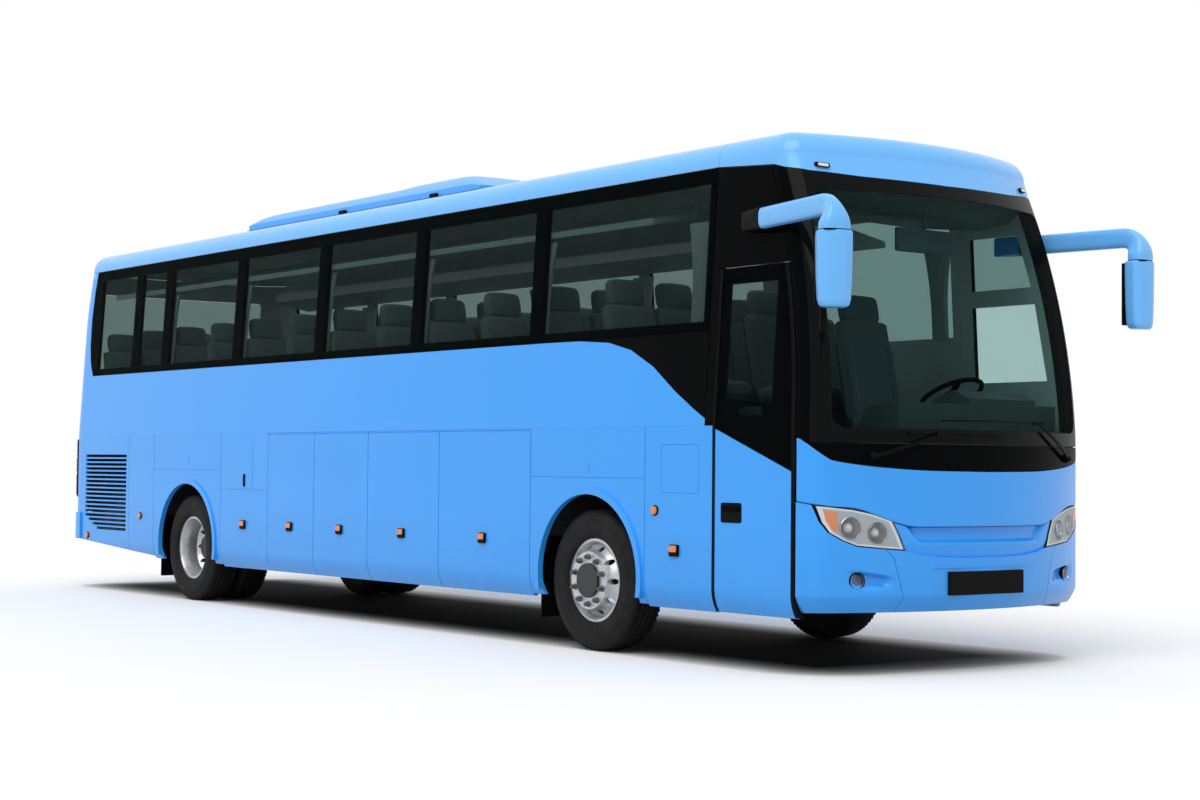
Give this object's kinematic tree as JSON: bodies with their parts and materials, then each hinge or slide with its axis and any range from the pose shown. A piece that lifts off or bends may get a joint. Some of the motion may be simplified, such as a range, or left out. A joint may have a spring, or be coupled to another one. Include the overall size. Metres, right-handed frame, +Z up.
{
  "type": "coach bus",
  "caption": "High-deck touring coach with an outward-swinging entry door, top-hinged luggage doors, steered front wheels, twin rear wheels and a furnished cabin.",
  "frame": {"origin": "on the ground under the middle of the bounding box", "axes": "+X forward, +Y to the left side of the coach, +Z up"},
  "size_m": [12.19, 3.1632, 3.748],
  "materials": {
    "body_blue": "gloss",
    "black_trim": "gloss",
    "tinted_glass": "gloss",
    "lamp_lens": "gloss",
    "amber_lens": "gloss",
    "rubber_black": "matt",
    "frame_steel": "satin",
    "engine_iron": "matt",
    "floor_covering": "matt",
    "trim_grey": "matt",
    "seat_fabric": "matt",
    "curtain_fabric": "matt",
    "rim_silver": "satin",
    "tyre": "matt"
  },
  "bodies": {
    "coach_body": {"roof_panel": "body_blue", "roof_front_cap": "body_blue", "roof_rear_cap": "body_blue", "side_wall_right": "body_blue", "side_wall_left": "body_blue", "skirt_right": "body_blue", "skirt_left": "body_blue", "front_panel": "body_blue", "front_bumper": "body_blue", "mirror_right": "body_blue", "mirror_left": "body_blue", "rear_panel": "body_blue", "rear_bumper": "body_blue", "ac_unit": "body_blue", "screen_base": "black_trim", "front_pillars": "black_trim", "side_glass_right": "tinted_glass", "side_glass_left": "tinted_glass", "windscreen": "tinted_glass", "rear_window": "tinted_glass", "lamps": "lamp_lens", "markers": "amber_lens", "wipers": "rubber_black", "mud_flaps": "rubber_black", "chassis_frame": "frame_steel", "underfloor": "frame_steel", "front_axle": "frame_steel", "rear_axle": "frame_steel", "engine_block": "engine_iron", "passenger_floor": "floor_covering", "dashboard": "trim_grey", "luggage_racks": "trim_grey", "seats": "seat_fabric", "curtains": "curtain_fabric"},
    "knuckle_right": {"knuckle_right": "frame_steel"},
    "knuckle_left": {"knuckle_left": "frame_steel"},
    "tie_rod": {"tie_rod": "frame_steel"},
    "wheel_front_right": {"rim_front_right": "rim_silver", "tyre_front_right": "tyre"},
    "wheel_front_left": {"rim_front_left": "rim_silver", "tyre_front_left": "tyre"},
    "wheels_rear_right": {"rims_rear_right": "rim_silver", "tyres_rear_right": "tyre"},
    "wheels_rear_left": {"rims_rear_left": "rim_silver", "tyres_rear_left": "tyre"},
    "steering_wheel": {"steering_wheel": "trim_grey"},
    "door_arm": {"door_arm": "frame_steel"},
    "door_leaf": {"door_leaf": "body_blue", "door_glass": "tinted_glass"},
    "engine_door": {"engine_door": "body_blue"},
    "bay_door_right_1": {"bay_door_right_1": "body_blue"},
    "bay_door_right_2": {"bay_door_right_2": "body_blue"},
    "bay_door_right_3": {"bay_door_right_3": "body_blue"},
    "bay_door_right_4": {"bay_door_right_4": "body_blue"},
    "bay_door_left_1": {"bay_door_left_1": "body_blue"},
    "bay_door_left_2": {"bay_door_left_2": "body_blue"},
    "bay_door_left_3": {"bay_door_left_3": "body_blue"},
    "bay_door_left_4": {"bay_door_left_4": "body_blue"}
  },
  "joints": [
    {"name": "steer_right", "type": "hinge", "parent": "coach_body", "child": "knuckle_right", "pos_m": [3.27, -0.86, 0.505], "axis": [0, 0, 1], "range_deg": [-45, 45]},
    {"name": "steer_left", "type": "hinge", "parent": "coach_body", "child": "knuckle_left", "pos_m": [3.27, 0.86, 0.505], "axis": [0, 0, 1], "range_deg": [-45, 45]},
    {"name": "tie_rod_turn", "type": "hinge", "parent": "knuckle_right", "child": "tie_rod", "pos_m": [3.08, -0.86, 0.4], "axis": [0, 0, 1], "range_deg": [-45, 45]},
    {"name": "steering_turn", "type": "hinge", "parent": "coach_body", "child": "steering_wheel", "pos_m": [4.99, 0.63, 1.84], "axis": [-0.4695, 0, 0.8829], "range_deg": [-450, 450]},
    {"name": "spin_front_right", "type": "hinge", "parent": "knuckle_right", "child": "wheel_front_right", "pos_m": [3.27, -1.09, 0.505], "axis": [0, 1, 0], "continuous": true},
    {"name": "spin_front_left", "type": "hinge", "parent": "knuckle_left", "child": "wheel_front_left", "pos_m": [3.27, 1.09, 0.505], "axis": [0, 1, 0], "continuous": true},
    {"name": "spin_rear_right", "type": "hinge", "parent": "coach_body", "child": "wheels_rear_right", "pos_m": [-3.18, -1.085, 0.505], "axis": [0, 1, 0], "continuous": true},
    {"name": "spin_rear_left", "type": "hinge", "parent": "coach_body", "child": "wheels_rear_left", "pos_m": [-3.18, 1.085, 0.505], "axis": [0, 1, 0], "continuous": true},
    {"name": "door_swing", "type": "hinge", "parent": "coach_body", "child": "door_arm", "pos_m": [5.35036, -1.12, 1], "axis": [0, 0, 1], "range_deg": [0, 115]},
    {"name": "door_guide", "type": "hinge", "parent": "door_arm", "child": "door_leaf", "pos_m": [4.87036, -1.12, 1], "axis": [0, 0, 1], "range_deg": [-115, 0]},
    {"name": "bay_right_1", "type": "hinge", "parent": "coach_body", "child": "bay_door_right_1", "pos_m": [0, -1.269, 1.5887], "axis": [-1, 0, 0], "range_deg": [0, 100]},
    {"name": "bay_right_2", "type": "hinge", "parent": "coach_body", "child": "bay_door_right_2", "pos_m": [0, -1.269, 1.5887], "axis": [-1, 0, 0], "range_deg": [0, 100]},
    {"name": "bay_right_3", "type": "hinge", "parent": "coach_body", "child": "bay_door_right_3", "pos_m": [0, -1.269, 1.5887], "axis": [-1, 0, 0], "range_deg": [0, 100]},
    {"name": "bay_right_4", "type": "hinge", "parent": "coach_body", "child": "bay_door_right_4", "pos_m": [0, -1.269, 1.5887], "axis": [-1, 0, 0], "range_deg": [0, 100]},
    {"name": "bay_left_1", "type": "hinge", "parent": "coach_body", "child": "bay_door_left_1", "pos_m": [0, 1.269, 1.5887], "axis": [1, 0, 0], "range_deg": [0, 100]},
    {"name": "bay_left_2", "type": "hinge", "parent": "coach_body", "child": "bay_door_left_2", "pos_m": [0, 1.269, 1.5887], "axis": [1, 0, 0], "range_deg": [0, 100]},
    {"name": "bay_left_3", "type": "hinge", "parent": "coach_body", "child": "bay_door_left_3", "pos_m": [0, 1.269, 1.5887], "axis": [1, 0, 0], "range_deg": [0, 100]},
    {"name": "bay_left_4", "type": "hinge", "parent": "coach_body", "child": "bay_door_left_4", "pos_m": [0, 1.269, 1.5887], "axis": [1, 0, 0], "range_deg": [0, 100]},
    {"name": "engine_door_lift", "type": "hinge", "parent": "coach_body", "child": "engine_door", "pos_m": [-6.065, 0, 1.7837], "axis": [0, 1, 0], "range_deg": [0, 80]}
  ],
  "couplings": [
    {"joint": "steer_left", "follows": "steer_right", "ratio": 1},
    {"joint": "tie_rod_turn", "follows": "steer_right", "ratio": -1},
    {"joint": "steering_turn", "follows": "steer_right", "ratio": 10},
    {"joint": "door_guide", "follows": "door_swing", "ratio": -1}
  ]
}
